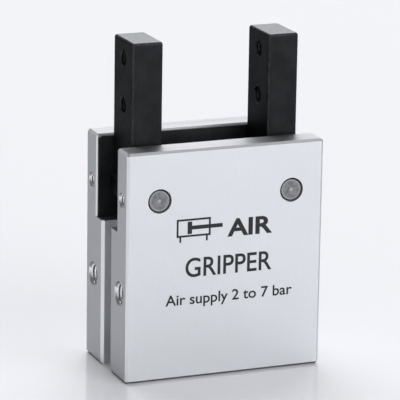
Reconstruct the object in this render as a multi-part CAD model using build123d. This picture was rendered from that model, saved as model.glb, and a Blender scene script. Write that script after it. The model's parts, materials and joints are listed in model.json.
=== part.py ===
from build123d import *
import os
from math import radians, tan

# Double-acting angular air gripper with two fingers, 20 mm bore.
# Millimetres. +Z up, X across the fingers, the marked front face at -Y, the ports at -X.
# The origin is the middle of the base, which the gripper stands on.

over = 1.0                       # cutters run this far past the faces they cut

# ---- housing -------------------------------------------------------------------------
body_width = 44.0                # X
body_depth = 24.4                # Y
body_height = 49.5               # Z
half_width = body_width / 2
half_depth = body_depth / 2
edge_chamfer = 0.5
inner_chamfer = 0.3
slot_width = 12.6                # the fingers' slot, across Y
slot_floor = 31.6                # Z of the slot's floor
groove_width = 5.0               # switch groove in each side face
groove_depth = 4.5
groove_flare = 0.6
liner_thickness = 0.6            # wear plates on the slot's walls
liner_side_gap = 0.4
liner_top_gap = 0.35
liner_corner = 1.0

# ---- tapped holes, plain, at the pitch radius of their thread -------------------------
m3_radius = 1.34
m4_radius = 1.77
m5_radius = 2.24
side_hole_y = 9.0                # M3, at the pivots' height, one over each pin end
side_hole_mouth = 0.3
base_hole_x = 17.5               # M4, in the base
base_hole_y = 8.3
base_hole_depth = 7.0
base_hole_mouth = 0.4
port_y = 7.8                     # M5, in the left side face
port_z = 18.6
port_depth = 6.5
port_mouth = 0.4

# ---- air passages --------------------------------------------------------------------
passage_radius = 0.9
passage_start = 0.5              # from the port's blind end
passage_shift = 1.0              # above or below the port's axis
upper_inlet = (-6.0, -7.8, 21.1)
lower_inlet = (-8.4, 4.2, 6.4)

# ---- fingers -------------------------------------------------------------------------
pivot_x = 14.8
pivot_z = 39.0
finger_inner = 3.0               # upright's inner face, from the pivot
finger_outer = 3.8               # upright's outer face, from the pivot
finger_thickness = 11.0          # across Y
finger_top = 71.0
finger_rounding = 0.6
boss_radius = 4.4
hole_pitch = 10.0                # the two M4 holes of a finger
hole_from_tip = 4.0
finger_hole_mouth = 0.1

# ---- finger arm and its drive --------------------------------------------------------
arm_reach = 10.0                 # pivot to roller, measured across X
arm_rest_angle = -10.0           # degrees from level, with the fingers parallel
arm_tip = 12.6
arm_half_height = 3.7
arm_thickness = 5.0
arm_rounding = 1.0
arm_slot_end = 0.4               # the slot's round end lies this far inside the roller's place
roller_radius = 2.0
roller_chamfer = 0.2
roller_clearance = 0.1           # beside the roller, in the arm's slot
roller_bias = -0.035             # splits the error of the straight-line drive
roller_x = pivot_x - arm_reach
roller_z = pivot_z + arm_reach * tan(radians(arm_rest_angle)) + roller_bias
roller_pin_radius = 1.2

# ---- pivot pins, bushes and set screws -----------------------------------------------
pin_radius = 2.5
pin_recess = 0.25                # pin ends lie this far under the faces
pin_chamfer = 0.3
pin_relief = 0.1                 # the pin hole is this much wider near the faces
pin_relief_depth = 0.8
bush_radius = 3.3
running_gap = 0.03
lock_screw_length = 3.0
lock_screw_hex = 1.5             # across flats
lock_screw_socket = 1.5          # depth

# ---- rod guide -----------------------------------------------------------------------
bore_radius = 10.0
bore_top = 22.2
pocket_floor = 27.7              # crosshead pocket in the slot's floor
pocket_half_x = 8.2
pocket_half_y = 5.7
rod_radius = 4.0
rod_bush_radius = 5.0
seal_pocket_radius = 6.2
seal_pocket_top = 25.2
seal_bottom = 23.1
lip_groove = (4.7, 5.6)          # radii of the groove behind the rod seal's lip
lip_depth = 0.9
retainer_gap = 0.4
retainer_bottom = bore_top + 0.1

# ---- cylinder end --------------------------------------------------------------------
cap_radius = 10.55
cap_bottom = 1.7
cap_top = 5.7
cap_gap = 0.05
cap_chamfer = 0.3
cap_recess_radius = 6.5
cap_recess_depth = 1.2
cap_groove_radius = 9.1
cap_groove_z = (3.1, 4.9)
cap_o_ring_z = (3.25, 4.75)
cap_o_ring_rounding = 0.45
ring_bottom = 0.65               # retaining ring
ring_thickness = 1.0
ring_inner = 9.6
ring_outer = cap_radius + 0.6
ring_end_gap = 2.4
eye_radius = 1.4
eye_hole_radius = 0.6
eye_x = 2.4
eye_y = -9.3
upper_bumper = (7.0, 9.0)        # radii
lower_bumper = (5.0, 7.5)
upper_bumper_z = (bore_top - 0.5, bore_top + 0.3)
lower_bumper_z = (cap_top - 0.8, cap_top + 0.4)
bumper_rounding = 0.2

# ---- piston and rod ------------------------------------------------------------------
piston_bottom = 8.1
piston_top = piston_bottom + 8.0
piston_radius = 9.85
piston_chamfer = 0.4
wear_ring_z = (piston_bottom + 0.8, piston_bottom + 2.4)
wear_ring_floor = 8.7            # radius of the ring's groove, as for the next two
magnet_z = (piston_bottom + 2.9, piston_bottom + 4.7)
magnet_floor = 7.6
magnet_recess = 0.15
seal_z = (piston_bottom + 5.2, piston_bottom + 7.2)
seal_floor = 7.9
seal_waist_radius = 9.5
seal_waist = 0.7                 # height of the hollow between the seal's lips
web_bottom = piston_bottom + 2.6
spigot_bottom = piston_bottom + 4.0
spigot_radius = 2.6
spigot_length = 1.2              # of the rod's upper end, in the crosshead
o_ring_radius = 3.6
o_ring_depth = 0.9
o_ring_rounding = 0.3
rod_chamfer = 0.3
screw_radius = 1.5
screw_hole = (7.4, 6.3)          # depths of the rod's lower and upper tapped holes
piston_screw_length = 7.6
piston_head_radius = 2.9
piston_head_height = 2.2
piston_head_recess = 3.4         # radius
piston_screw_hex = 2.5
piston_screw_socket = 1.4

# ---- crosshead, from the roller's axis -----------------------------------------------
head_half_width = 7.0
head_half_depth = 5.35
head_gap = 2.7                   # half the gap between the cheeks
head_top = roller_z + 2.4
head_base_top = roller_z - 4.6
head_bottom = roller_z - 7.4
head_rounding = 2.0
head_relief_x = 6.0              # outside this the base is lower, to clear the arms
head_relief = 0.8
rivet_radius = 0.7
rivet_x = 4.6
rivet_z = head_bottom + 1.0
head_screw_sink = 1.1            # countersink, as deep as it is wider than the shank
head_screw_length = 8.0
head_screw_hex = 2.0
head_screw_socket = 1.2

SIDES = {"left": -1, "right": 1}
ENDS = {"front": -1, "rear": 1}


def block(x0, x1, y0, y1, z0, z1):
    """A box between two corners."""
    return Pos((x0 + x1) / 2, (y0 + y1) / 2, (z0 + z1) / 2) * Box(x1 - x0, y1 - y0, z1 - z0)


def rod_z(radius, z0, z1, x=0.0, y=0.0):
    """A cylinder along Z."""
    return Pos(x, y, (z0 + z1) / 2) * Cylinder(radius, z1 - z0)


def rod_x(radius, x0, x1, y, z):
    """A cylinder along X."""
    return Pos((x0 + x1) / 2, y, z) * Rot(0, 90, 0) * Cylinder(radius, x1 - x0)


def rod_y(radius, y0, y1, x, z):
    """A cylinder along Y."""
    return Pos(x, (y0 + y1) / 2, z) * Rot(90, 0, 0) * Cylinder(radius, y1 - y0)


def mouth_x(radius, depth, face_x, y, z, side):
    """The 45 degree countersink of a hole in a face across X."""
    middle = face_x - side * depth / 2
    return Pos(middle, y, z) * Rot(0, 90 * side, 0) * Cone(radius, radius + depth, depth)


def ring_z(inner, outer, z0, z1, rounding=0.0):
    """A ring about Z, its edges rounded where a rounding is given."""
    ring = rod_z(outer, z0, z1) - rod_z(inner, z0, z1)
    return fillet(ring.edges().filter_by(GeomType.CIRCLE), rounding) if rounding else ring


def between(start, end, radius):
    """A straight drilling from one point to another."""
    run = Vector(*end) - Vector(*start)
    return Plane(origin=start, z_dir=run) * Pos(0, 0, run.length / 2) * Cylinder(radius, run.length)


def hexagon(across_flats, depth):
    """A hexagon socket, from its floor at the origin up along Z."""
    return extrude(RegularPolygon(across_flats / 2, 6, major_radius=False), depth)


# ---- housing -------------------------------------------------------------------------
def flared_cut(floor, face, side, half, flare, low, high):
    """A groove cut in a face across X, with flared lips, from one height to another."""
    lip = face - side * flare
    past = face + side * over
    outline = Polyline(
        (floor, -half), (lip, -half), (face, -half - flare), (past, -half - flare),
        (past, half + flare), (face, half + flare), (lip, half), (floor, half), close=True,
    )
    return extrude(Pos(0, 0, low) * make_face(outline), high - low, dir=(0, 0, 1))


def groove_tool(side):
    """One switch groove, from the base up into the slot."""
    face = side * half_width
    floor = face - side * groove_depth
    return flared_cut(floor, face, side, groove_width / 2, groove_flare, -over, slot_floor + over)


def slot_tool():
    """The fingers' slot, flared where it meets the top and both side faces."""
    half = slot_width / 2
    reach = half_width + over
    tool = Rot(0, -90, 0) * flared_cut(slot_floor, body_height, 1, half, inner_chamfer, -reach, reach)
    for side in SIDES.values():
        face = side * half_width
        floor = face - side * over
        tool += flared_cut(floor, face, side, half, inner_chamfer, slot_floor, body_height + over)
    return tool


def bore_tool():
    """The cylinder bore, its cap seat, the retaining ring's groove and the rod's passage."""
    tool = rod_z(bore_radius, -over, bore_top)
    tool += rod_z(cap_radius + cap_gap, -over, cap_top)
    tool += rod_z(ring_outer + cap_gap, ring_bottom - cap_gap, cap_bottom)
    tool += rod_z(seal_pocket_radius, bore_top - over, seal_pocket_top)
    tool += rod_z(rod_bush_radius, seal_pocket_top - over, pocket_floor + over)
    tool += ring_z(*upper_bumper, bore_top - over, upper_bumper_z[1])
    return tool


def port_tools():
    """Both M5 ports and the drillings from them to the two ends of the bore."""
    end = port_depth - half_width
    tools = []
    for y in (-port_y, port_y):
        tools.append(rod_x(m5_radius, -half_width - over, end, y, port_z))
        tools.append(mouth_x(m5_radius, port_mouth, -half_width, y, port_z, -1))
    start = end - passage_start
    tools.append(between((start, -port_y, port_z + passage_shift), upper_inlet, passage_radius))
    tools.append(between((start, port_y, port_z - passage_shift), lower_inlet, passage_radius))
    return tools


def pin_hole(side):
    """A pivot pin's hole through the housing, a little wider near both faces."""
    reach = half_depth + over
    tool = rod_y(pin_radius, -reach, reach, side * pivot_x, pivot_z)
    for end in ENDS.values():
        low, high = sorted((end * reach, end * (half_depth - pin_relief_depth)))
        tool += rod_y(pin_radius + pin_relief, low, high, side * pivot_x, pivot_z)
    return tool


def side_hole(side, end):
    """A tapped hole from a side face to a pivot pin."""
    y = end * side_hole_y
    low, high = sorted((side * (half_width + over), side * (pivot_x + pin_radius - pin_relief)))
    hole = rod_x(m3_radius, low, high, y, pivot_z)
    return hole + mouth_x(m3_radius, side_hole_mouth, side * half_width, y, pivot_z, side)


def base_hole(side, end):
    """A tapped hole in the base."""
    hole = rod_z(m4_radius, -over, base_hole_depth, side * base_hole_x, end * base_hole_y)
    mouth = Cone(m4_radius + base_hole_mouth, m4_radius, base_hole_mouth)
    return hole + Pos(side * base_hole_x, end * base_hole_y, base_hole_mouth / 2) * mouth


def housing():
    body = block(-half_width, half_width, -half_depth, half_depth, 0, body_height)
    body = chamfer(body.edges(), edge_chamfer)
    body -= slot_tool()
    body -= block(
        -pocket_half_x, pocket_half_x, -pocket_half_y, pocket_half_y, pocket_floor, slot_floor + over
    )
    body -= bore_tool()
    for side in SIDES.values():
        body -= groove_tool(side)
        body -= pin_hole(side)
        for end in ENDS.values():
            body -= side_hole(side, end)
            body -= base_hole(side, end)
    for tool in port_tools():
        body -= tool
    return body


def liner(end):
    """A wear plate on one slot wall."""
    wall = end * slot_width / 2
    low, high = sorted((wall, wall - end * liner_thickness))
    reach = half_width - liner_side_gap
    plate = block(-reach, reach, low, high, slot_floor, body_height - liner_top_gap)
    tops = [edge for edge in plate.edges().filter_by(Axis.Y) if (edge @ 0.5).Z > pivot_z]
    plate = fillet(tops, liner_corner)
    for side in SIDES.values():
        plate -= rod_y(pin_radius, low - over, high + over, side * pivot_x, pivot_z)
    return plate


# ---- fingers -------------------------------------------------------------------------
def finger_arm():
    """The arm towards the middle, level, with the roller's slot open at its tip."""
    arm = block(-arm_tip, 0, -arm_thickness / 2, arm_thickness / 2, -arm_half_height, arm_half_height)
    tips = [edge for edge in arm.edges().filter_by(Axis.Y) if (edge @ 0.5).X < -over]
    arm = fillet(tips, arm_rounding)
    slot_half = roller_radius + roller_clearance
    slot_end = arm_slot_end - arm_reach
    arm -= rod_y(slot_half, -arm_thickness, arm_thickness, slot_end, 0)
    arm -= block(-arm_tip - over, slot_end, -arm_thickness, arm_thickness, -slot_half, slot_half)
    return arm


def finger(side):
    """A bell crank: an upright finger above its pivot and a slotted arm towards the middle."""
    half = finger_thickness / 2
    upright = block(-finger_inner, finger_outer, -half, half, 0, finger_top - pivot_z)
    shape = upright + rod_y(boss_radius, -half, half, 0, 0)
    edges = [edge for edge in shape.edges() if (edge @ 0.5).Z > boss_radius + over]
    shape = fillet(edges, finger_rounding)
    shape += Rot(0, arm_rest_angle, 0) * finger_arm()
    shape -= rod_y(bush_radius, -half - over, half + over, 0, 0)
    for drop in (hole_from_tip, hole_from_tip + hole_pitch):
        z = finger_top - pivot_z - drop
        shape -= rod_x(m4_radius, -finger_inner - over, finger_outer + over, 0, z)
        shape -= mouth_x(m4_radius, finger_hole_mouth, -finger_inner, 0, z, -1)
        shape -= mouth_x(m4_radius, finger_hole_mouth, finger_outer, 0, z, 1)
    if side < 0:
        shape = Rot(0, 0, 180) * shape
    return Pos(side * pivot_x, 0, pivot_z) * shape


def pivot_bush(side):
    half = finger_thickness / 2
    bush = rod_y(bush_radius, -half, half, 0, 0) - rod_y(pin_radius + running_gap, -half, half, 0, 0)
    return Pos(side * pivot_x, 0, pivot_z) * bush


def pivot_pin(side):
    half = half_depth - pin_recess
    pin = rod_y(pin_radius, -half, half, side * pivot_x, pivot_z)
    return chamfer(pin.edges().filter_by(GeomType.CIRCLE), pin_chamfer)


def pin_lock_screws():
    """Four hexagon-socket set screws, one on each end of both pivot pins."""
    screws = []
    for side in SIDES.values():
        start = pivot_x + pin_radius
        head = side * (start + lock_screw_length)
        low, high = sorted((side * start, head))
        for end in ENDS.values():
            screw = rod_x(m3_radius, low, high, end * side_hole_y, pivot_z)
            inward = Pos(head, end * side_hole_y, pivot_z) * Rot(0, -90 * side, 0)
            screws.append(screw - inward * hexagon(lock_screw_hex, lock_screw_socket))
    return Compound(children=screws)


# ---- rod guide and cylinder end ------------------------------------------------------
def rod_bush():
    return ring_z(rod_radius + running_gap, rod_bush_radius, seal_pocket_top, pocket_floor)


def rod_seal():
    """A lipped rod seal, open towards the bore."""
    seal = ring_z(rod_radius + running_gap, seal_pocket_radius, seal_bottom, seal_pocket_top)
    return seal - ring_z(*lip_groove, seal_bottom - over, seal_bottom + lip_depth)


def seal_retainer():
    return ring_z(rod_radius + retainer_gap, seal_pocket_radius, retainer_bottom, seal_bottom)


def cylinder_cap():
    cap = rod_z(cap_radius, cap_bottom, cap_top)
    cap = chamfer(cap.edges().filter_by(GeomType.CIRCLE), cap_chamfer)
    cap -= ring_z(cap_groove_radius, cap_radius + over, *cap_groove_z)
    cap -= ring_z(*lower_bumper, lower_bumper_z[0], cap_top + over)
    cap -= rod_z(cap_recess_radius, cap_bottom - over, cap_bottom + cap_recess_depth)
    return cap


def cap_o_ring():
    return ring_z(cap_groove_radius, cap_radius + cap_gap, *cap_o_ring_z, cap_o_ring_rounding)


def retaining_ring():
    """An internal circlip with a gap and two eyes."""
    top = ring_bottom + ring_thickness
    ring = ring_z(ring_inner, ring_outer, ring_bottom, top)
    for side in SIDES.values():
        ring += rod_z(eye_radius, ring_bottom, top, side * eye_x, eye_y)
    half_gap = ring_end_gap / 2
    ring -= block(-half_gap, half_gap, -ring_outer - over, eye_y / 2, ring_bottom - over, top + over)
    for side in SIDES.values():
        ring -= rod_z(eye_hole_radius, ring_bottom - over, top + over, side * eye_x, eye_y)
    return ring


def bumper_upper():
    return ring_z(*upper_bumper, *upper_bumper_z, bumper_rounding)


def bumper_lower():
    return ring_z(*lower_bumper, *lower_bumper_z, bumper_rounding)


# ---- piston and rod ------------------------------------------------------------------
def piston():
    body = rod_z(piston_radius, piston_bottom, piston_top)
    body = chamfer(body.edges().filter_by(GeomType.CIRCLE), piston_chamfer)
    body -= ring_z(wear_ring_floor, piston_radius + over, *wear_ring_z)
    body -= ring_z(magnet_floor, piston_radius + over, *magnet_z)
    body -= ring_z(seal_floor, piston_radius + over, *seal_z)
    body -= rod_z(piston_head_recess, piston_bottom - over, web_bottom)
    body -= rod_z(screw_radius, web_bottom - over, spigot_bottom + over)
    body -= rod_z(spigot_radius, spigot_bottom, piston_top + over)
    body -= rod_z(o_ring_radius, piston_top - o_ring_depth, piston_top + over)
    return body


def piston_rod():
    rod = rod_z(rod_radius, piston_top, head_bottom)
    rod = chamfer(rod.edges().filter_by(GeomType.CIRCLE), rod_chamfer)
    rod += rod_z(spigot_radius, spigot_bottom, piston_top + over)
    rod += rod_z(spigot_radius, head_bottom - over, head_bottom + spigot_length)
    rod -= rod_z(screw_radius, spigot_bottom - over, spigot_bottom + screw_hole[0])
    rod -= rod_z(screw_radius, head_bottom - screw_hole[1], head_bottom + spigot_length + over)
    return rod


def piston_seal():
    """A two-lipped seal."""
    seal = ring_z(seal_floor, bore_radius - running_gap, *seal_z)
    low = (seal_z[0] + seal_z[1] - seal_waist) / 2
    return seal - ring_z(seal_waist_radius, bore_radius + over, low, low + seal_waist)


def wear_ring():
    return ring_z(wear_ring_floor, bore_radius - running_gap, *wear_ring_z)


def magnet_ring():
    return ring_z(magnet_floor, piston_radius - magnet_recess, *magnet_z)


def rod_o_ring():
    return ring_z(spigot_radius, o_ring_radius, piston_top - o_ring_depth, piston_top, o_ring_rounding)


def piston_screw():
    """A low-head hexagon-socket screw up through the piston into the rod."""
    head_bottom_z = web_bottom - piston_head_height
    screw = rod_z(piston_head_radius, head_bottom_z, web_bottom)
    screw += rod_z(screw_radius, web_bottom - over, web_bottom + piston_screw_length)
    return screw - Pos(0, 0, head_bottom_z) * hexagon(piston_screw_hex, piston_screw_socket)


# ---- crosshead -----------------------------------------------------------------------
def crosshead_sink():
    """The countersink that the crosshead's screw sits in."""
    middle = head_base_top - head_screw_sink / 2
    return Pos(0, 0, middle) * Cone(screw_radius, screw_radius + head_screw_sink, head_screw_sink)


def rivet_holes():
    """The two rivets through the crosshead and its cheeks, as long as the cheeks are apart."""
    return [
        rod_y(rivet_radius, -head_half_depth, head_half_depth, side * rivet_x, rivet_z)
        for side in SIDES.values()
    ]


def crosshead():
    """The block between the two cheeks, screwed onto the rod."""
    head = block(-head_half_width, head_half_width, -head_gap, head_gap, head_bottom, head_base_top)
    for side in SIDES.values():
        low, high = sorted((side * head_relief_x, side * (head_half_width + over)))
        top = head_base_top - head_relief
        head -= block(low, high, -head_gap - over, head_gap + over, top, head_base_top + over)
    head -= rod_z(spigot_radius, head_bottom - over, head_bottom + spigot_length)
    head -= rod_z(screw_radius, head_bottom, head_base_top + over)
    head -= crosshead_sink()
    for hole in rivet_holes():
        head -= hole
    return head


def crosshead_cheek(end):
    """A plate on one side of the crosshead, which carries the roller pins."""
    low, high = sorted((end * head_gap, end * head_half_depth))
    plate = block(-head_half_width, head_half_width, low, high, head_bottom, head_top)
    tops = [edge for edge in plate.edges().filter_by(Axis.Y) if (edge @ 0.5).Z > roller_z]
    plate = fillet(tops, head_rounding)
    for side in SIDES.values():
        plate -= rod_y(roller_pin_radius, low - over, high + over, side * roller_x, roller_z)
    for hole in rivet_holes():
        plate -= hole
    return plate


def cheek_rivets():
    return Compound(children=rivet_holes())


def crosshead_screw():
    """A countersunk hexagon-socket screw down through the crosshead into the rod."""
    screw = crosshead_sink()
    screw += rod_z(screw_radius, head_base_top - head_screw_length, head_base_top - head_screw_sink / 2)
    socket = Pos(0, 0, head_base_top - head_screw_socket) * hexagon(head_screw_hex, head_screw_socket)
    return screw - socket


def roller_pins():
    return Compound(children=[
        rod_y(roller_pin_radius, -head_half_depth, head_half_depth, side * roller_x, roller_z)
        for side in SIDES.values()
    ])


def roller(side):
    half = arm_thickness / 2
    wheel = rod_y(roller_radius, -half, half, side * roller_x, roller_z)
    wheel = chamfer(wheel.edges().filter_by(GeomType.CIRCLE), roller_chamfer)
    return wheel - rod_y(roller_pin_radius + running_gap, -half, half, side * roller_x, roller_z)


def main():
    nodes = {
        "housing": housing(),
        "pin_lock_screws": pin_lock_screws(),
        "rod_bush": rod_bush(),
        "rod_seal": rod_seal(),
        "seal_retainer": seal_retainer(),
        "cylinder_cap": cylinder_cap(),
        "cap_o_ring": cap_o_ring(),
        "retaining_ring": retaining_ring(),
        "bumper_upper": bumper_upper(),
        "bumper_lower": bumper_lower(),
        "piston": piston(),
        "piston_rod": piston_rod(),
        "piston_seal": piston_seal(),
        "wear_ring": wear_ring(),
        "magnet_ring": magnet_ring(),
        "rod_o_ring": rod_o_ring(),
        "piston_screw": piston_screw(),
        "crosshead": crosshead(),
        "crosshead_screw": crosshead_screw(),
        "cheek_rivets": cheek_rivets(),
        "roller_pins": roller_pins(),
    }
    for name, end in ENDS.items():
        nodes["liner_" + name] = liner(end)
        nodes["crosshead_cheek_" + name] = crosshead_cheek(end)
    for name, side in SIDES.items():
        nodes["finger_" + name] = finger(side)
        nodes["pivot_bush_" + name] = pivot_bush(side)
        nodes["pivot_pin_" + name] = pivot_pin(side)
        nodes["roller_" + name] = roller(side)
    os.makedirs("parts", exist_ok=True)
    for name, shape in nodes.items():
        export_step(shape, f"parts/{name}.step")


main()
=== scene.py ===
"""Looks of a two-finger angular air gripper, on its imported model. Metres, in the part's frame."""

import json
import math

import bpy
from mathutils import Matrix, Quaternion, Vector


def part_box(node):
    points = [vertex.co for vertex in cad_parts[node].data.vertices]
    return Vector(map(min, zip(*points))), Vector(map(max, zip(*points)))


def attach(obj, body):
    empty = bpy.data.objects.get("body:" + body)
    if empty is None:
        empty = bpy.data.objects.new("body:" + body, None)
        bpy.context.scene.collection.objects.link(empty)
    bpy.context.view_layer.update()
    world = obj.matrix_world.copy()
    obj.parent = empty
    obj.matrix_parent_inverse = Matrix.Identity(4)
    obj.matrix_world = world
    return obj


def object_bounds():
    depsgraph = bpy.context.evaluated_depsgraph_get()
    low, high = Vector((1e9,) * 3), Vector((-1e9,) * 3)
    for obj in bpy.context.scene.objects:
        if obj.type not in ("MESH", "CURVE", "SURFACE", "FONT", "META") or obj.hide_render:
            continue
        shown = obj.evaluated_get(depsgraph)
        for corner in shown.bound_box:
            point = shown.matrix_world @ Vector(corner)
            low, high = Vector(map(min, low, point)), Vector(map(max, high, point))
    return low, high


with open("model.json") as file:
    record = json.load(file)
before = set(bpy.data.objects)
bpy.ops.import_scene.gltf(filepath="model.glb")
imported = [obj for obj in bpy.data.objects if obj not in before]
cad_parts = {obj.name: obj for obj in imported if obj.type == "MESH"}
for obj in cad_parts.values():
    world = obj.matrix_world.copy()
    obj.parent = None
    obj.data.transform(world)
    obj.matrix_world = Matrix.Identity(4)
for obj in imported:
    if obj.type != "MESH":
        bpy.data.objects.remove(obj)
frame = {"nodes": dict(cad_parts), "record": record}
cad_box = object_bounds()

MM = 0.001
UP = Vector((0, 0, 1))
MOUNTS = {mount["name"]: mount for mount in frame["record"]["mounts"]}
HOUSING_LOW, HOUSING_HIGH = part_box("housing")

# ---- camera ---------------------------------------------------------------------------
CAMERA_AZIMUTH = 22.23           # degrees, view direction from +Y towards +X
CAMERA_PITCH = -15.05
CAMERA_ROLL = 0.92
CAMERA_DISTANCE = 0.6396         # metres
CAMERA_AIM = Vector((-0.9, 0, -0.5)) * MM        # from the middle of the part's box
CAMERA_LENS = 271.85             # focal length in millimetres, on a sensor 36 mm wide
CAMERA_REACH = (0.01, 20.0)      # nearest and farthest seen

# ---- light ----------------------------------------------------------------------------
ROOM_COLOUR = (0.97, 0.975, 1.0, 1.0)
ROOM_LIGHT = [                   # direction, where it starts and is full (as a cosine), strength
    ((0, 0, 1), -2.0, -1.5, 0.10),                  # from everywhere
    ((1, 0, 0), -0.3, 0.6, 0.12),                   # the right half
    ((0, -1, 0), 0.0, 0.8, 0.62),                   # the front half
    ((0.37, 0.89, 0.27), 0.65, 0.97, 0.80),         # low, behind on the right
    ((0.36, -0.84, 0.40), 0.84, 0.98, 1.62),        # the key light
    ((0.09, 0.56, 0.82), 0.84, 0.98, 3.75),         # the light above and behind
]

# ---- floor ----------------------------------------------------------------------------
FLOOR_COLOUR = (0.88, 0.88, 0.90, 1.0)
FLOOR_IOR = 1.55
FLOOR_ROUGHNESS = (0.10, 0.14)
FLOOR_RADIUS = 3.0
FLOOR_SEGMENTS = 96              # round the disc
FLOOR_RINGS = 24                 # closer together towards the middle
FLOOR_DROP = 0.02 * MM           # the floor lies this far under the base

# ---- threads --------------------------------------------------------------------------
THREAD_SEGMENTS = 48             # round the hole
THREAD_STEPS = 10                # along one turn
THREAD_LEAD = 0.25               # of a turn, over which the ridge rises at each end
THREAD_SKIN = 0.01 * MM          # the roots stand this far in from the hole's wall
THREAD_SEAT = 0.03 * MM          # the lining's outside lies this far in the wall
THREAD_CREST = 0.14              # half widths of the flat crest and of the ridge's foot,
THREAD_FOOT = 0.86               # as shares of half the pitch
THREAD_SHARP = math.radians(50)  # edges sharper than this stay sharp
THREADS = {                      # crest radius and pitch
    "M3": (1.21 * MM, 0.5 * MM),
    "M4": (1.62 * MM, 0.7 * MM),
    "M5": (2.06 * MM, 0.8 * MM),
}

# ---- the model's tapped holes, where its mounts don't say ------------------------------
SIDE_HOLE_RADIUS = 1.34 * MM
SIDE_MOUTH = 0.3 * MM            # this one and the next three are depths of countersinks
BASE_MOUTH = 0.4 * MM
PORT_MOUTH = 0.4 * MM
FINGER_MOUTH = 0.1 * MM
BASE_HOLE_DEPTH = 7.0 * MM
FINGER_WIDTH = 6.8 * MM          # the upright, across X

# ---- printing on the front face --------------------------------------------------------
INK_THICKNESS = 0.02 * MM
SIGN_PLACE = (-11.0 * MM, 29.7 * MM)             # X and Z of its lower left corner
SIGN_SIZE = (10.3 * MM, 5.0 * MM)
SIGN_LINE = 0.42 * MM
PRINTED_LINES = [                # name, text, left, right, foot and height in mm, boldness
    ("print_air", "AIR", 0.4, 10.6, 30.2, 3.7, 0.03),
    ("print_gripper", "GRIPPER", -8.9, 10.6, 22.1, 4.1, 0.010),
    ("print_supply", "Air supply 2 to 7 bar", -13.3, 15.4, 16.2, 2.3, 0.014),
]


# ---- materials -------------------------------------------------------------------------
class Finish:
    """A material's nodes. Each call adds a node and gives back the output it is used for."""

    def __init__(self, name, **sockets):
        self.material = bpy.data.materials.new(name)
        self.material.use_nodes = True
        self.tree = self.material.node_tree
        self.shader = self.tree.nodes["Principled BSDF"]
        self.put(**sockets)

    def link(self, socket, value):
        """Gives a socket a plain value, or another node's output."""
        if isinstance(value, bpy.types.NodeSocket):
            self.tree.links.new(value, socket)
        else:
            socket.default_value = value

    def put(self, **sockets):
        """Sets the shader's own sockets: Base_Color is the one named Base Color."""
        for name, value in sockets.items():
            self.link(self.shader.inputs[name.replace("_", " ")], value)

    def node(self, kind, output, inputs=None, **settings):
        """Adds a node. Inputs go by name or number, and settings are the node's own properties."""
        node = self.tree.nodes.new("ShaderNode" + kind)
        for name, value in settings.items():
            setattr(node, name, value)
        for name, value in (inputs or {}).items():
            self.link(node.inputs[name], value)
        return node.outputs[output]

    def place(self):
        """The point in the part's frame."""
        return self.node("TexCoord", "Object")

    def facing(self):
        """The surface's direction in the part's frame."""
        return self.node("TexCoord", "Normal")

    def math(self, operation, first, second=0.0):
        return self.node("Math", 0, {0: first, 1: second}, operation=operation)

    def fade(self, value, low, high, start=0.0, end=1.0):
        """A smooth step of a value, from start below low to end above high."""
        inputs = {0: value, 1: low, 2: high, 3: start, 4: end}
        return self.node("MapRange", 0, inputs, interpolation_type="SMOOTHSTEP")

    def spread(self, noise, start=0.0, end=1.0, reach=0.2):
        """A smooth step over the middle of a noise's range."""
        return self.fade(noise, 0.5 - reach, 0.5 + reach, start, end)

    def parts(self, vector):
        """The sizes of a vector's three parts, without their signs."""
        split = self.node("SeparateXYZ", 0, {0: vector}).node
        return [self.math("ABSOLUTE", output) for output in split.outputs]

    def stretch(self, vector, x, y, z):
        """A point with each part multiplied, for noise that is finer along some axes."""
        return self.node("VectorMath", 0, {0: vector, 1: (x, y, z)}, operation="MULTIPLY")

    def noise(self, vector, scale=1.0, detail=3.0):
        """Noise of about scale features in a metre."""
        return self.node("TexNoise", 0, {"Vector": vector, "Scale": scale, "Detail": detail})

    def mix(self, share, first, second):
        """A colour between two."""
        inputs = {0: share, 6: first, 7: second}
        return self.node("Mix", 2, inputs, data_type="RGBA")

    def blend(self, share, first, second):
        """A number between two."""
        return self.node("Mix", 0, {0: share, 2: first, 3: second}, data_type="FLOAT")

    def edges(self, normal):
        """1 on chamfers and roundings, 0 on faces along the axes."""
        x, y, z = self.parts(normal)
        flat = self.math("MAXIMUM", self.math("MAXIMUM", x, y), z)
        return self.fade(flat, 0.90, 0.985, 1.0, 0.0)

    def bump(self, height, strength, distance):
        inputs = {"Height": height, "Strength": strength, "Distance": distance}
        self.put(Normal=self.node("Bump", 0, inputs))


def grey(level, blue=1.0):
    """A grey, with its blue that many times its red."""
    return (level, level * (1 + blue) / 2, level * blue, 1.0)


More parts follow.
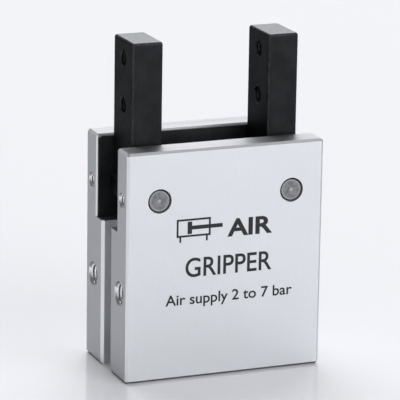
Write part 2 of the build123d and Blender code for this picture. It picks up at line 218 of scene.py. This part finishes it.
def anodised(name):
    """Satin anodised aluminium: brushed upright on the sides, milled along X and glossier on top.

    The film over the metal makes it darker at a glancing angle."""
    finish = Finish(name, Metallic=1.0, Specular_Tint=(0.32, 0.32, 0.32, 1.0))
    place, normal = finish.place(), finish.facing()
    across_z = finish.parts(normal)[2]
    top = finish.fade(across_z, 0.85, 0.97)
    edge = finish.edges(normal)
    brushed = finish.noise(finish.stretch(place, 3600, 3600, 240), detail=4.0)
    milled = finish.noise(finish.stretch(place, 34, 4200, 34), detail=4.0)
    cloud = finish.noise(place, 55.0, 2.0)
    grain = finish.noise(place, 9000.0, 2.0)
    streaks = finish.blend(top, brushed, milled)
    colour = finish.mix(finish.spread(streaks), grey(0.735, 1.04), grey(0.765, 1.04))
    colour = finish.mix(finish.spread(grain, 0.0, 0.4, reach=0.15), colour, grey(0.710, 1.045))
    colour = finish.mix(finish.spread(cloud, 0.0, 0.3, reach=0.15), colour, grey(0.720, 1.045))
    milled_colour = finish.mix(finish.spread(milled, reach=0.15), grey(0.65, 1.03), grey(0.78, 1.03))
    colour = finish.mix(top, colour, milled_colour)
    # Chamfers and roundings are painted almost white, a painted highlight along the edges; those
    # facing down are painted dark grey, a painted shade.
    down = finish.fade(finish.node("SeparateXYZ", 2, {0: normal}), -0.35, -0.15, 1.0, 0.0)
    chamfer_highlight_and_shade = finish.mix(down, grey(0.93, 1.01), grey(0.30, 1.03))
    colour = finish.mix(edge, colour, chamfer_highlight_and_shade)
    rough = finish.blend(top, finish.spread(streaks, 0.50, 0.54), 0.38)
    rough = finish.blend(edge, rough, 0.32)
    finish.put(Base_Color=colour, Roughness=rough)
    finish.bump(finish.math("ADD", streaks, grain), 0.05, 0.02 * MM)
    return finish.material


def turned_aluminium(name):
    """Turned aluminium, with rings about the cylinder's axis."""
    finish = Finish(name, Metallic=1.0)
    place = finish.place()
    radius = finish.node("VectorMath", 1, {0: finish.stretch(place, 1, 1, 0)}, operation="LENGTH")
    rings = finish.math("SINE", finish.math("MULTIPLY", radius, 26000.0))
    colour = finish.mix(finish.noise(place, 300.0), grey(0.60, 1.02), grey(0.72, 1.02))
    finish.put(Base_Color=colour, Roughness=finish.fade(rings, -1.0, 1.0, 0.24, 0.36))
    finish.bump(rings, 0.15, 0.01 * MM)
    return finish.material


def black_oxide(name, base, tip=None):
    """Satin black oxide on ground steel, a little worn along its edges.

    With a tip, given as its height, the level face up there is bare steel."""
    finish = Finish(name, Metallic=1.0, Specular_Tint=(0.6, 0.6, 0.6, 1.0))
    place, normal = finish.place(), finish.facing()
    edge = finish.edges(normal)
    streaks = finish.noise(finish.stretch(place, 2200, 2200, 500), detail=4.0)
    cloud = finish.noise(place, 160.0, 3.0)
    grain = finish.noise(place, 7000.0, 2.0)
    colour = finish.mix(finish.spread(cloud), grey(base, 1.15), grey(base * 1.4, 1.12))
    worn = finish.math("MULTIPLY", edge, finish.fade(streaks, 0.35, 0.6, 0.25, 0.8))
    colour = finish.mix(worn, colour, grey(0.08, 1.05))
    rough = finish.spread(streaks, 0.46, 0.56)
    if tip is not None:
        height = finish.parts(place)[2]
        upward = finish.fade(finish.parts(normal)[2], 0.95, 0.995)
        bare = finish.math("MULTIPLY", upward, finish.fade(height, tip - 0.5 * MM, tip - 0.2 * MM))
        speckle = finish.spread(finish.noise(place, 2500.0, 3.0))
        colour = finish.mix(bare, colour, finish.mix(speckle, grey(0.31, 1.06), grey(0.42, 1.05)))
        rough = finish.blend(bare, rough, 0.34)
    finish.put(Base_Color=colour, Roughness=rough)
    finish.bump(finish.math("ADD", streaks, grain), 0.12, 0.02 * MM)
    return finish.material


def ground_steel(name, centre=None):
    """Ground steel. With a centre, its ends show turning marks about that point of the XZ plane."""
    finish = Finish(name, Metallic=1.0)
    place, normal = finish.place(), finish.facing()
    cloud = finish.noise(place, 900.0, 4.0)
    colour = finish.mix(finish.spread(cloud), grey(0.36, 1.03), grey(0.50, 1.03))
    rough = finish.spread(cloud, 0.26, 0.36)
    marks = finish.noise(finish.stretch(place, 300, 5000, 300), detail=3.0)
    if centre is not None:
        inputs = {0: place, 1: (centre.x, 0, centre.z)}
        offset = finish.node("VectorMath", 0, inputs, operation="SUBTRACT")
        flat = finish.stretch(offset, 1, 0, 1)
        radius = finish.node("VectorMath", 1, {0: flat}, operation="LENGTH")
        end = finish.fade(finish.parts(normal)[1], 0.85, 0.97)
        rings = finish.math("SINE", finish.math("MULTIPLY", radius, 60000.0))
        pip = finish.fade(radius, 0.20 * MM, 0.45 * MM, 1.0, 0.0)
        rim = finish.fade(radius, 1.6 * MM, 2.15 * MM)
        mottle = finish.mix(finish.spread(cloud, reach=0.15), grey(0.155, 1.06), grey(0.225, 1.06))
        colour = finish.mix(end, colour, mottle)
        colour = finish.mix(finish.math("MULTIPLY", end, rim), colour, grey(0.29, 1.03))
        colour = finish.mix(finish.math("MULTIPLY", end, pip), colour, grey(0.38, 1.02))
        # The sloping chamfer round each pin's end is painted near black: painted shade, for the
        # shadow in the chamfer and in the gap round the pin.
        sloping = finish.fade(finish.parts(normal)[1], 0.1, 0.4)
        pin_chamfer_shade = finish.math("MULTIPLY", finish.math("SUBTRACT", 1.0, end), sloping)
        colour = finish.mix(pin_chamfer_shade, colour, grey(0.03, 1.05))
        rough = finish.blend(end, rough, 0.42)
        marks = finish.blend(end, marks, rings)
    finish.put(Base_Color=colour, Roughness=rough)
    finish.bump(marks, 0.12, 0.01 * MM)
    return finish.material


def speckled(name, dark, light, roughness, metallic=0.0, scale=1200.0):
    """An even material with a fine speckle: sintered bronze, rubber, resin, black screws."""
    finish = Finish(name, Metallic=metallic)
    place = finish.place()
    fine = finish.noise(place, scale, 4.0)
    broad = finish.noise(place, scale / 12, 2.0)
    share = finish.fade(finish.math("ADD", fine, broad), 0.7, 1.3)
    finish.put(Base_Color=finish.mix(share, dark, light))
    finish.put(Roughness=finish.spread(fine, roughness - 0.06, roughness + 0.06))
    finish.bump(fine, 0.15, 0.02 * MM)
    return finish.material


def paint(node, material):
    """Gives a CAD node its material."""
    mesh = frame["nodes"][node].data
    if not mesh.materials:
        mesh.materials.append(material)
    for index in range(len(mesh.materials)):
        mesh.materials[index] = material


# ---- pieces ----------------------------------------------------------------------------
def piece(name, vertices, faces, material, body):
    """A new mesh, in place, riding on a CAD body."""
    mesh = bpy.data.meshes.new(name)
    mesh.from_pydata(vertices, [], faces)
    mesh.materials.append(material)
    made = bpy.data.objects.new(name, mesh)
    bpy.context.scene.collection.objects.link(made)
    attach(made, body)
    return made


def thread_depth(along, depth, pitch, turn):
    """How far the ridge stands, from 0 at the root to 1 at the crest."""
    phase = (along / pitch - turn) % 1.0
    off_crest = abs(2 * phase - 1)
    ridge = min(1.0, max(0.0, (THREAD_FOOT - off_crest) / (THREAD_FOOT - THREAD_CREST)))
    lead = min(1.0, along / pitch / THREAD_LEAD, (depth - along) / pitch / THREAD_LEAD)
    return ridge * max(0.0, lead)


def thread(name, mouth, inward, depth, wall, size, material, body):
    """The helical lining of a tapped hole: a closed sleeve with the thread on its inside."""
    crest, pitch = THREADS[size]
    root = wall - THREAD_SKIN
    across = inward.orthogonal().normalized()
    beside = inward.cross(across)
    steps = round(depth / pitch * THREAD_STEPS)
    turns = [k / THREAD_SEGMENTS for k in range(THREAD_SEGMENTS)]
    outside = [wall + THREAD_SEAT] * THREAD_SEGMENTS

    def ring(along, radii):
        points = []
        for turn, radius in zip(turns, radii):
            angle = math.tau * turn
            outward = across * math.cos(angle) + beside * math.sin(angle)
            points.append(mouth + inward * along + radius * outward)
        return points

    vertices = ring(0, outside)
    for step in range(steps + 1):
        along = depth * step / steps
        radii = [root - (root - crest) * thread_depth(along, depth, pitch, turn) for turn in turns]
        vertices += ring(along, radii)
    vertices += ring(depth, outside)
    rows = steps + 3
    faces = []
    for row in range(rows):
        here, there = row * THREAD_SEGMENTS, (row + 1) % rows * THREAD_SEGMENTS
        for k in range(THREAD_SEGMENTS):
            after = (k + 1) % THREAD_SEGMENTS
            faces.append((here + k, here + after, there + after, there + k))
    made = piece(name, vertices, faces, material, body)
    made.data.shade_smooth()
    made.data.set_sharp_from_angle(angle=THREAD_SHARP)


def port_threads(material):
    """In the two M5 air ports."""
    for name in ("port_open", "port_close"):
        place = Vector(MOUNTS[name]["pos_m"])
        wall = MOUNTS[name]["dims"]["r_mm"] * MM
        depth = MOUNTS[name]["dims"]["length_mm"] * MM
        mouth = Vector((HOUSING_LOW.x + PORT_MOUTH, place.y, place.z))
        thread("thread_" + name, mouth, Vector((1, 0, 0)), depth, wall, "M5", material,
               "gripper_body")


def side_threads(material):
    """Above the four set screws, from their heads out to the side faces."""
    low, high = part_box("pin_lock_screws")
    z = (low.z + high.z) / 2
    for side_name, side, head in (("left", -1, low.x), ("right", 1, high.x)):
        face = side * (HOUSING_HIGH.x - SIDE_MOUTH)
        for end_name, y in (("front", low.y + SIDE_HOLE_RADIUS), ("rear", high.y - SIDE_HOLE_RADIUS)):
            name = f"thread_side_{side_name}_{end_name}"
            thread(name, Vector((face, y, z)), Vector((-side, 0, 0)), abs(face - head),
                   SIDE_HOLE_RADIUS, "M3", material, "gripper_body")


def base_threads(material):
    """In the four M4 holes of the base."""
    mount = MOUNTS["base_screws"]
    half_x = mount["dims"]["spacing_x_mm"] / 2 * MM
    half_y = mount["dims"]["spacing_y_mm"] / 2 * MM
    wall = mount["dims"]["hole_r_mm"] * MM
    for side_name, x in (("left", -half_x), ("right", half_x)):
        for end_name, y in (("front", -half_y), ("rear", half_y)):
            name = f"thread_base_{side_name}_{end_name}"
            thread(name, Vector((x, y, BASE_MOUTH)), UP, BASE_HOLE_DEPTH - BASE_MOUTH, wall, "M4",
                   material, "gripper_body")


def finger_threads(material):
    """In the M4 holes, which go right through the fingers' uprights."""
    for side_name, side in (("left", -1), ("right", 1)):
        mount = MOUNTS[side_name + "_finger_holes"]
        half = mount["dims"]["spacing_y_mm"] / 2 * MM
        wall = mount["dims"]["hole_r_mm"] * MM
        centre = Vector(mount["pos_m"])
        for hole_name, z in (("upper", centre.z + half), ("lower", centre.z - half)):
            name = f"thread_finger_{side_name}_{hole_name}"
            mouth = Vector((centre.x - side * FINGER_MOUTH, centre.y, z))
            thread(name, mouth, Vector((-side, 0, 0)), FINGER_WIDTH - 2 * FINGER_MOUTH, wall, "M4",
                   material, side_name + "_finger")


# ---- printing --------------------------------------------------------------------------
def slab_faces(first, count):
    """The faces of a prism whose front and back outlines follow each other in the list."""
    front = [first + k for k in range(count)]
    back = [first + count + k for k in range(count)]
    sides = []
    for k in range(count):
        after = (k + 1) % count
        sides.append((front[k], back[k], back[after], front[after]))
    return [tuple(front), tuple(reversed(back)), *sides]


def pictogram(name, material):
    """The drawing sign of a double-acting cylinder: barrel, piston, rod and two ports."""
    left, bottom = SIGN_PLACE
    width, height = SIGN_SIZE
    line = SIGN_LINE
    right = left + width * 0.74                   # the barrel's end, with the rod beyond it
    low, high = bottom + height * 0.22, bottom + height
    middle = (low + high) / 2
    piston = left + (right - left) * 0.32
    rod = piston + 2.4 * line
    bars = [                                      # left, right, lower and upper edge
        (left, right, low, low + line),
        (left, right, high - line, high),
        (left, left + line, low + line, high - line),
        (right - line, right, low + line, middle - line),
        (right - line, right, middle + line, high - line),
        (piston, rod, low + 1.5 * line, high - 1.5 * line),
        (rod, left + width, middle - line, middle + line),
        (left + 1.5 * line, left + 2.5 * line, bottom, low),
        (right - 2.5 * line, right - 1.5 * line, bottom, low),
    ]
    front, back = HOUSING_LOW.y - INK_THICKNESS, HOUSING_LOW.y + INK_THICKNESS
    vertices, faces = [], []
    for x0, x1, z0, z1 in bars:
        outline = [(x0, z0), (x1, z0), (x1, z1), (x0, z1)]
        faces += slab_faces(len(vertices), len(outline))
        vertices += [(x, front, z) for x, z in outline]
        vertices += [(x, back, z) for x, z in outline]
    piece(name, vertices, faces, material, "gripper_body")


def lettering(name, text, left, right, foot, height, boldness, material):
    """A line of plain letters on the front face, between left and right and up to height."""
    curve = bpy.data.curves.new(name, "FONT")
    curve.body = text
    curve.extrude = INK_THICKNESS
    curve.offset = boldness
    curve.fill_mode = "BOTH"
    typed = bpy.data.objects.new(name + "_typed", curve)
    bpy.context.scene.collection.objects.link(typed)
    bpy.context.view_layer.update()
    mesh = bpy.data.meshes.new_from_object(typed)
    bpy.data.objects.remove(typed)
    start = min(v.co.x for v in mesh.vertices)
    end = max(v.co.x for v in mesh.vertices)
    wider = (right - left) / (end - start)
    taller = height / max(v.co.y for v in mesh.vertices)
    vertices = [
        (left + (v.co.x - start) * wider, HOUSING_LOW.y - v.co.z, foot + v.co.y * taller)
        for v in mesh.vertices
    ]
    faces = [tuple(polygon.vertices) for polygon in mesh.polygons]
    bpy.data.meshes.remove(mesh)
    piece(name, vertices, faces, material, "gripper_body")


def printing():
    """The sign and the three lines on the front face."""
    ink = speckled("ink", grey(0.008, 1.2), grey(0.014, 1.2), 0.60, scale=4000.0)
    pictogram("print_cylinder_sign", ink)
    for name, text, left, right, foot, height, boldness in PRINTED_LINES:
        lettering(name, text, left * MM, right * MM, foot * MM, height * MM, boldness, ink)


# ---- stage -----------------------------------------------------------------------------
def floor():
    """A large pale glossy disc that the gripper stands on."""
    angles = [math.tau * k / FLOOR_SEGMENTS for k in range(FLOOR_SEGMENTS)]
    vertices = [(0, 0, 0)]
    for ring in range(1, FLOOR_RINGS + 1):
        reach = FLOOR_RADIUS * (ring / FLOOR_RINGS) ** 2
        vertices += [(reach * math.cos(angle), reach * math.sin(angle), 0) for angle in angles]
    faces = [(0, 1 + k, 1 + (k + 1) % FLOOR_SEGMENTS) for k in range(FLOOR_SEGMENTS)]
    for ring in range(FLOOR_RINGS - 1):
        inner = 1 + ring * FLOOR_SEGMENTS
        outer = inner + FLOOR_SEGMENTS
        for k in range(FLOOR_SEGMENTS):
            after = (k + 1) % FLOOR_SEGMENTS
            faces.append((inner + k, outer + k, outer + after, inner + after))
    mesh = bpy.data.meshes.new("floor")
    mesh.from_pydata(vertices, [], faces)
    finish = Finish("floor", Base_Color=FLOOR_COLOUR, IOR=FLOOR_IOR)
    finish.put(Roughness=finish.spread(finish.noise(finish.place(), 8.0), *FLOOR_ROUGHNESS))
    mesh.materials.append(finish.material)
    made = bpy.data.objects.new("floor", mesh)
    made.location.z = -FLOOR_DROP
    bpy.context.scene.collection.objects.link(made)


def surroundings():
    """A pale room: an even light, with smooth brighter regions of the sky added to it."""
    world = bpy.data.worlds.new("room")
    world.use_nodes = True
    tree = world.node_tree
    direction = tree.nodes.new("ShaderNodeTexCoord").outputs["Generated"]
    total = None
    for axis, low, high, strength in ROOM_LIGHT:
        dot = tree.nodes.new("ShaderNodeVectorMath")
        dot.operation = "DOT_PRODUCT"
        dot.inputs[1].default_value = axis
        region = tree.nodes.new("ShaderNodeMapRange")
        region.interpolation_type = "SMOOTHSTEP"
        region.inputs["From Min"].default_value = low
        region.inputs["From Max"].default_value = high
        region.inputs["To Max"].default_value = strength
        tree.links.new(direction, dot.inputs[0])
        tree.links.new(dot.outputs["Value"], region.inputs["Value"])
        level = region.outputs[0]
        if total:
            add = tree.nodes.new("ShaderNodeMath")
            tree.links.new(total, add.inputs[0])
            tree.links.new(level, add.inputs[1])
            level = add.outputs[0]
        total = level
    background = tree.nodes["Background"]
    background.inputs["Color"].default_value = ROOM_COLOUR
    tree.links.new(total, background.inputs["Strength"])
    bpy.context.scene.world = world


def camera():
    """A long lens, looking down a little at the front and left faces."""
    lens = bpy.data.cameras.new("camera")
    lens.lens = CAMERA_LENS
    lens.clip_start, lens.clip_end = CAMERA_REACH
    made = bpy.data.objects.new("camera", lens)
    azimuth, pitch = math.radians(CAMERA_AZIMUTH), math.radians(CAMERA_PITCH)
    level = Vector((math.sin(azimuth), math.cos(azimuth), 0))
    ahead = level * math.cos(pitch) + UP * math.sin(pitch)
    aim = (cad_box[0] + cad_box[1]) / 2 + CAMERA_AIM
    made.location = aim - ahead * CAMERA_DISTANCE
    made.rotation_mode = "QUATERNION"
    roll = Quaternion((0, 0, 1), math.radians(CAMERA_ROLL))
    made.rotation_quaternion = ahead.to_track_quat("-Z", "Y") @ roll
    bpy.context.scene.collection.objects.link(made)
    bpy.context.scene.camera = made


# ---- the whole scene ---------------------------------------------------------------------
def finishes():
    """Gives every CAD node the material of its slot, and the fingers and pins their own."""
    black = black_oxide("black_oxide", 0.045)
    fingers = black_oxide("black_oxide_fingers", 0.020, tip=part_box("finger_left")[1].z)
    ground = ground_steel("ground_steel")
    turned = turned_aluminium("turned_aluminium")
    screws = speckled("black_screws", grey(0.035), grey(0.06), 0.38, metallic=1.0)
    bronze = speckled(
        "sintered_bronze", (0.42, 0.25, 0.11, 1), (0.60, 0.40, 0.20, 1), 0.42, metallic=1.0)
    rubber = speckled("nitrile_rubber", grey(0.012), grey(0.022), 0.62)
    urethane = speckled("urethane", (0.09, 0.04, 0.015, 1), (0.14, 0.07, 0.03, 1), 0.50)
    resin = speckled("bearing_resin", (0.66, 0.62, 0.50, 1), (0.76, 0.72, 0.60, 1), 0.48)
    magnet = speckled("bonded_magnet", (0.06, 0.05, 0.045, 1), (0.10, 0.09, 0.08, 1), 0.52)
    by_slot = {
        "anodised_aluminium": anodised("anodised_aluminium"),
        "plain_aluminium": turned,
        "black_steel": black,
        "ground_steel": ground,
        "screw_steel": screws,
        "bronze": bronze,
        "rubber": rubber,
        "bumper_rubber": urethane,
        "ring_plastic": resin,
        "magnet": magnet,
    }
    for part in frame["record"]["subparts"]:
        paint(part["node"], by_slot[part["material_slot"]])
    for side in ("left", "right"):
        paint("finger_" + side, fingers)
        low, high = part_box("pivot_pin_" + side)
        paint("pivot_pin_" + side, ground_steel("turned_pin_" + side, centre=(low + high) / 2))


def build():
    finishes()
    cut = speckled(
        "cut_aluminium", grey(0.86, 1.02), grey(0.95, 1.02), 0.24, metallic=1.0, scale=3000.0)
    port_threads(cut)
    side_threads(cut)
    base_threads(cut)
    # The threads in the fingers' holes are painted much darker than the fingers: painted shade, so
    # that the holes look black inside.
    finger_threads(black_oxide("black_oxide_threads_painted_shade", 0.004))
    printing()
    floor()
    surroundings()
    camera()
    bpy.context.scene.view_settings.view_transform = "Standard"


build()
